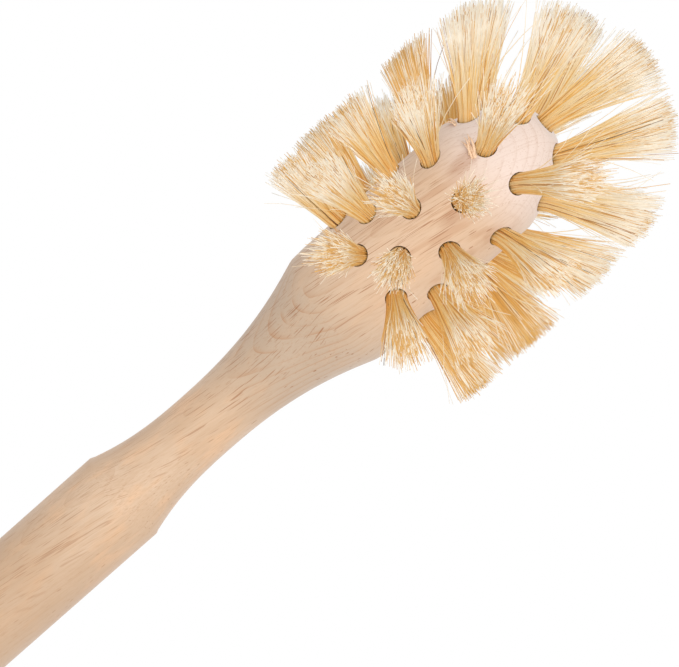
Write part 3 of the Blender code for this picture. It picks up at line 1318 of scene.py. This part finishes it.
@dataclass
class Studio:
    """A pale floor, soft light and the camera that took the picture."""

    floor_radius: float = 1.6
    floor_sides: int = 96
    floor_colour: Colour = (0.90, 0.90, 0.90)
    floor_roughness: float = 0.9
    whitening: Fade = Fade(0.10, 0.23)
    room_light: float = 0.78
    softboxes: tuple[Softbox, ...] = (
        Softbox("key_softbox", (0.24, -0.56, 0.46), 0.36, 2.2),
        Softbox("left_softbox", (-0.50, -0.50, 0.35), 0.40, 0.5),
        Softbox("back_softbox", (-0.6, 1.2, 0.9), 1.0, 1.0),
    )
    camera_tilt_deg: float = 12.4
    camera_roll_deg: float = 41.4
    picture_width: int = 679
    metres_per_pixel: float = 0.00026
    lens: float = 250.0
    sensor_width: float = 36.0
    view_limit: float = 10.0
    target: Triple = (0.00556, 0.0, 0.19778)

    def seen(self, graph: ShaderGraph) -> NodeSocket:
        """Return 1 for rays that show a surface and 0 for those that light one."""
        path = graph.node("ShaderNodeLightPath", {})
        shown = path.outputs[RayKind.CAMERA.value]
        for kind in (RayKind.GLOSSY, RayKind.TRANSMISSION):
            shown = graph.math("MAXIMUM", shown, path.outputs[kind.value])
        return shown

    def make_floor(self) -> None:
        """Make the floor, which takes the shadow near the brush and turns white further out."""
        shape = bmesh.new()
        sides, radius = self.floor_sides, self.floor_radius
        bmesh.ops.create_circle(shape, cap_ends=True, segments=sides, radius=radius)
        graph = ShaderGraph.of_material("studio_floor")
        material = graph.finish({
            "Base Color": self.floor_colour,
            "Roughness": self.floor_roughness,
            "Specular IOR Level": 0.0,
        })
        glow = graph.node("ShaderNodeEmission", {"Color": WHITE, "Strength": 1.0})
        away = graph.vector_math("LENGTH", graph.place())
        share = graph.times(graph.fade(away, self.whitening), self.seen(graph))
        shaders = {0: share, 1: graph.shader.outputs[0], 2: glow.outputs[0]}
        blend = graph.node("ShaderNodeMixShader", shaders)
        graph.feed(graph.tree.nodes["Material Output"].inputs["Surface"], blend.outputs[0])
        floor = new_piece("studio_floor", shape, material)

    def make_world(self) -> None:
        """Light the room evenly and show it white."""
        world = bpy.data.worlds.new("studio_room")
        world.use_nodes = True
        bpy.context.scene.world = world
        graph = ShaderGraph(world.node_tree)
        backdrop = graph.tree.nodes["Background"]
        shown, lit = self.seen(graph), self.room_light
        graph.feed(backdrop.inputs["Color"], WHITE)
        graph.feed(backdrop.inputs["Strength"], graph.math("MULTIPLY_ADD", shown, 1.0 - lit, lit))

    def add_softbox(self, softbox: Softbox) -> None:
        """Hang a soft light that faces the brush.

        Args:
            softbox: The light's name, place, size and power.
        """
        data = bpy.data.lights.new(softbox.name, "AREA")
        data.shape = "SQUARE"
        data.size = softbox.size
        data.energy = softbox.power
        light = bpy.data.objects.new(softbox.name, data)
        light.location = softbox.place
        light.visible_camera = False
        aim = Vector(self.target) - Vector(softbox.place)
        light.rotation_euler = aim.to_track_quat("-Z", "Y").to_euler()
        bpy.context.scene.collection.objects.link(light)

    def make_camera(self) -> None:
        """Set up the camera at the photograph's angle, rolled so that the brush lies aslant."""
        tilt = math.radians(self.camera_tilt_deg)
        roll = math.radians(self.camera_roll_deg)
        back = Vector((0.0, -math.cos(tilt), math.sin(tilt)))
        upright = Vector((0.0, math.sin(tilt), math.cos(tilt)))
        level = Vector((1.0, 0.0, 0.0))
        right = math.cos(roll) * upright + math.sin(roll) * level
        up = math.sin(roll) * upright - math.cos(roll) * level
        data = bpy.data.cameras.new("studio_camera")
        data.type = "PERSP"
        data.lens = self.lens
        data.sensor_width = self.sensor_width
        data.clip_end = self.view_limit
        half_width = self.picture_width * self.metres_per_pixel / 2
        distance = half_width / (self.sensor_width / 2 / self.lens)
        camera = bpy.data.objects.new("studio_camera", data)
        turned = Matrix((right, up, back)).transposed().to_4x4()
        place = Vector(self.target) + back * distance
        camera.matrix_world = Matrix.Translation(place) @ turned
        bpy.context.scene.collection.objects.link(camera)
        bpy.context.scene.camera = camera

    def build(self) -> None:
        """Make the floor, the light and the camera."""
        self.make_floor()
        self.make_world()
        for softbox in self.softboxes:
            self.add_softbox(softbox)
        self.make_camera()
        bpy.context.scene.view_settings.view_transform = "Standard"


# Columns: lean right, lean forward, spread, and paleness, which is partly each tuft's own tone and
# partly painted light on lit tufts and painted shade on tufts in shade.
HABITS: dict[str, Habit] = {
    "tuft_ring1_1": Habit(0.16, 0.06, 1.0, 0.06),
    "tuft_ring1_2": Habit(0.04, -0.02, 0.9, -0.06),
    "tuft_ring1_3": Habit(0.00, 0.10, 0.8, -0.18),
    "tuft_ring1_7": Habit(0.22, 0.18, 0.8, 0.20),
    "tuft_ring2_1": Habit(0.03, -0.02, 0.6, 0.14),
    "tuft_ring2_2": Habit(-0.12, 0.00, 1.0, -0.12),
    "tuft_ring2_3": Habit(0.00, 0.06, 1.1, -0.42),
    "tuft_ring2_6": Habit(0.00, 0.00, 1.0, -0.10),
    "tuft_ring2_7": Habit(0.04, 0.03, 1.0, 0.30),
    "tuft_ring3_1": Habit(0.08, -0.04, 0.9, 0.10),
    "tuft_ring3_2": Habit(-0.05, -0.08, 1.0, 0.08),
    "tuft_ring3_3": Habit(-0.04, -0.16, 1.3, -0.44),
    "tuft_ring3_6": Habit(0.00, 0.00, 0.9, 0.10),
    "tuft_ring3_7": Habit(0.00, 0.02, 1.0, 0.12),
    "tuft_ring4_1": Habit(-0.02, -0.18, 0.6, 0.08),
    "tuft_ring4_2": Habit(-0.05, -0.16, 0.9, 0.06),
    "tuft_ring4_3": Habit(-0.14, -0.02, 1.3, 0.26),
    "tuft_ring4_5": Habit(0.22, -0.08, 0.8, -0.45),
    "tuft_ring4_6": Habit(0.00, 0.00, 0.9, -0.40),
    "tuft_ring4_7": Habit(0.14, -0.02, 1.0, 0.38),
    "tuft_ring5_1": Habit(0.13, -0.18, 0.7, 0.36),
    "tuft_ring5_2": Habit(0.02, -0.12, 0.55, 0.08),
    "tuft_ring5_3": Habit(-0.05, -0.17, 0.95, 0.40),
    "tuft_ring5_4": Habit(-0.36, -0.33, 0.65, 0.16),
    "tuft_ring5_6": Habit(0.10, -0.15, 0.8, 0.40),
    "tuft_ring5_7": Habit(0.06, -0.03, 1.05, 0.54),
    "tuft_nose_1": Habit(-0.06, 0.00, 0.85, 0.42),
    "tuft_nose_2": Habit(0.02, 0.03, 0.95, 0.34),
    "tuft_nose_3": Habit(0.24, -0.20, 0.7, 0.34),
    "tuft_tip": Habit(0.15, -0.04, 0.92, 0.32),
}


def main() -> None:
    """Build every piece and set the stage."""
    logging.basicConfig(level=logging.INFO, format="%(message)s")
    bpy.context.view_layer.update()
    body = BeechBody()
    places = TuftLayout(body).places()
    beech = BeechFinish().material()
    dress(body.build(places, beech, SHADED_BORE.material()), "beech_body")
    fibre = FibreFinish().material()
    trim = TrimShape()
    for seed, place in enumerate(places, start=1):
        tuft = Tuft(place, trim, seed, habit=HABITS.get(place.name, Habit()))
        dress(tuft.build(fibre), place.name)
    by_name = {place.name: place for place in places}
    shaving = FRESH_SHAVING.material()
    for name, splinters in TORN_RIMS.items():
        dress(TornRim(body, by_name[name], splinters).build(shaving), "beech_body")
    Studio().build()


if __name__ == "__main__":
    main()
